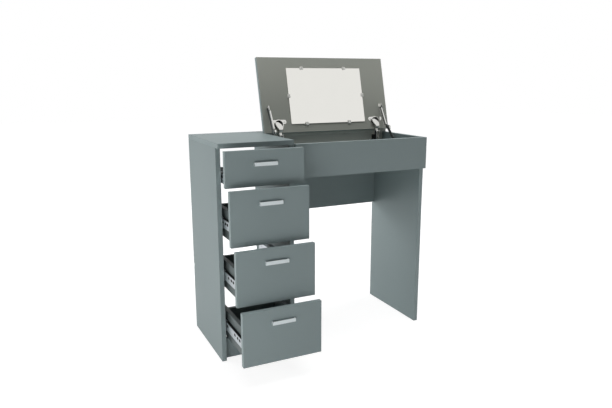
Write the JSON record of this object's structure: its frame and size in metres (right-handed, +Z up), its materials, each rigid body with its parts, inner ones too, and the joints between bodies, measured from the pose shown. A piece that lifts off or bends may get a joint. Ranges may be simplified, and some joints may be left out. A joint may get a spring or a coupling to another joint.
{
  "type": "writing desk with drawers",
  "caption": "Board desk with a pedestal of full-overlay drawers on ball-bearing slides and a lift-up lid with an inset mirror over a shallow compartment.",
  "frame": {"origin": "on the floor, midway across the desk's width and midway between the lowest drawer's handle, as it stands open, and the back edges of the panels", "axes": "+X to the right along the desk's width, +Y to the back, +Z up"},
  "size_m": [0.81, 0.558, 1.0269],
  "materials": {
    "board": "grey melamine-faced chipboard, fine matt emboss",
    "drawer_box": "grey foil-wrapped board",
    "zinc_steel": "bright zinc-plated pressed steel",
    "nickel_steel": "nickel-plated pressed steel",
    "handle_metal": "satin light grey metal",
    "mirror_glass": "silvered flat glass"
  },
  "bodies": {
    "carcass": {"left_side_panel": "board", "divider_panel": "board", "right_leg_panel": "board", "fixed_top": "board", "rear_top_strip": "board", "modesty_panel": "board", "compartment_floor": "board", "hinge_board": "board", "front_apron": "board", "plinth_board": "board", "rear_rail": "board", "cabinet_slide_1_left": "zinc_steel", "cabinet_slide_1_right": "zinc_steel", "cabinet_slide_2_left": "zinc_steel", "cabinet_slide_2_right": "zinc_steel", "cabinet_slide_3_left": "zinc_steel", "cabinet_slide_3_right": "zinc_steel", "cabinet_slide_4_left": "zinc_steel", "cabinet_slide_4_right": "zinc_steel", "hinge_arm_left": "nickel_steel", "hinge_arm_right": "nickel_steel", "stay_wall_bracket_left": "zinc_steel", "stay_wall_bracket_right": "zinc_steel"},
    "drawer_1": {"drawer_1_front": "board", "drawer_1_box": "drawer_box", "drawer_1_bottom": "drawer_box", "drawer_1_handle": "handle_metal", "drawer_1_slide_left": "zinc_steel", "drawer_1_slide_right": "zinc_steel"},
    "drawer_2": {"drawer_2_front": "board", "drawer_2_box": "drawer_box", "drawer_2_bottom": "drawer_box", "drawer_2_handle": "handle_metal", "drawer_2_slide_left": "zinc_steel", "drawer_2_slide_right": "zinc_steel"},
    "drawer_3": {"drawer_3_front": "board", "drawer_3_box": "drawer_box", "drawer_3_bottom": "drawer_box", "drawer_3_handle": "handle_metal", "drawer_3_slide_left": "zinc_steel", "drawer_3_slide_right": "zinc_steel"},
    "drawer_4": {"drawer_4_front": "board", "drawer_4_box": "drawer_box", "drawer_4_bottom": "drawer_box", "drawer_4_handle": "handle_metal", "drawer_4_slide_left": "zinc_steel", "drawer_4_slide_right": "zinc_steel"},
    "lid": {"lid_panel": "board", "mirror": "mirror_glass", "hinge_cup_left": "nickel_steel", "hinge_cup_right": "nickel_steel", "stay_lid_bracket_left": "nickel_steel", "stay_lid_bracket_right": "nickel_steel"},
    "link_hinge_left": {"hinge_link_left": "nickel_steel"},
    "link_hinge_right": {"hinge_link_right": "nickel_steel"},
    "stay_lower_left": {"stay_lower_link_left": "zinc_steel"},
    "stay_lower_right": {"stay_lower_link_right": "zinc_steel"},
    "stay_upper_left": {"stay_upper_link_left": "zinc_steel"},
    "stay_upper_right": {"stay_upper_link_right": "zinc_steel"}
  },
  "joints": [
    {"name": "drawer_1_slide", "type": "slide", "parent": "carcass", "child": "drawer_1", "axis": [0, -1, 0], "range_m": [-0.07, 0.155]},
    {"name": "drawer_2_slide", "type": "slide", "parent": "carcass", "child": "drawer_2", "axis": [0, -1, 0], "range_m": [-0.11, 0.115]},
    {"name": "drawer_3_slide", "type": "slide", "parent": "carcass", "child": "drawer_3", "axis": [0, -1, 0], "range_m": [-0.152, 0.073]},
    {"name": "drawer_4_slide", "type": "slide", "parent": "carcass", "child": "drawer_4", "axis": [0, -1, 0], "range_m": [-0.199, 0.026]},
    {"name": "lid_hinge", "type": "hinge", "parent": "carcass", "child": "lid", "pos_m": [0.132, 0.204, 0.7475], "axis": [1, 0, 0], "range_deg": [0, 104.3]},
    {"name": "hinge_link_left_pin", "type": "hinge", "parent": "carcass", "child": "link_hinge_left", "pos_m": [-0.0785, 0.1812, 0.7396], "axis": [1, 0, 0], "range_deg": [0, 116.1]},
    {"name": "hinge_link_right_pin", "type": "hinge", "parent": "carcass", "child": "link_hinge_right", "pos_m": [0.345, 0.1812, 0.7396], "axis": [1, 0, 0], "range_deg": [0, 116.1]},
    {"name": "stay_lower_left_pin", "type": "hinge", "parent": "carcass", "child": "stay_lower_left", "pos_m": [-0.1227, 0.083, 0.685], "axis": [1, 0, 0], "range_deg": [-64.75, 0]},
    {"name": "stay_lower_right_pin", "type": "hinge", "parent": "carcass", "child": "stay_lower_right", "pos_m": [0.3787, 0.083, 0.685], "axis": [1, 0, 0], "range_deg": [-64.75, 0]},
    {"name": "stay_upper_left_pin", "type": "hinge", "parent": "lid", "child": "stay_upper_left", "pos_m": [-0.1204, 0.2065, 0.84232], "axis": [1, 0, 0], "range_deg": [-32.4, 0]},
    {"name": "stay_upper_right_pin", "type": "hinge", "parent": "lid", "child": "stay_upper_right", "pos_m": [0.3764, 0.2065, 0.84232], "axis": [1, 0, 0], "range_deg": [-32.4, 0]}
  ],
  "couplings": [
    {"joint": "hinge_link_left_pin", "follows": "lid_hinge", "ratio": 1.1122},
    {"joint": "hinge_link_right_pin", "follows": "lid_hinge", "ratio": 1.1122},
    {"joint": "stay_lower_left_pin", "follows": "lid_hinge", "ratio": -0.62006},
    {"joint": "stay_lower_right_pin", "follows": "lid_hinge", "ratio": -0.62006},
    {"joint": "stay_upper_left_pin", "follows": "lid_hinge", "ratio": -0.30989},
    {"joint": "stay_upper_right_pin", "follows": "lid_hinge", "ratio": -0.30989}
  ]
}
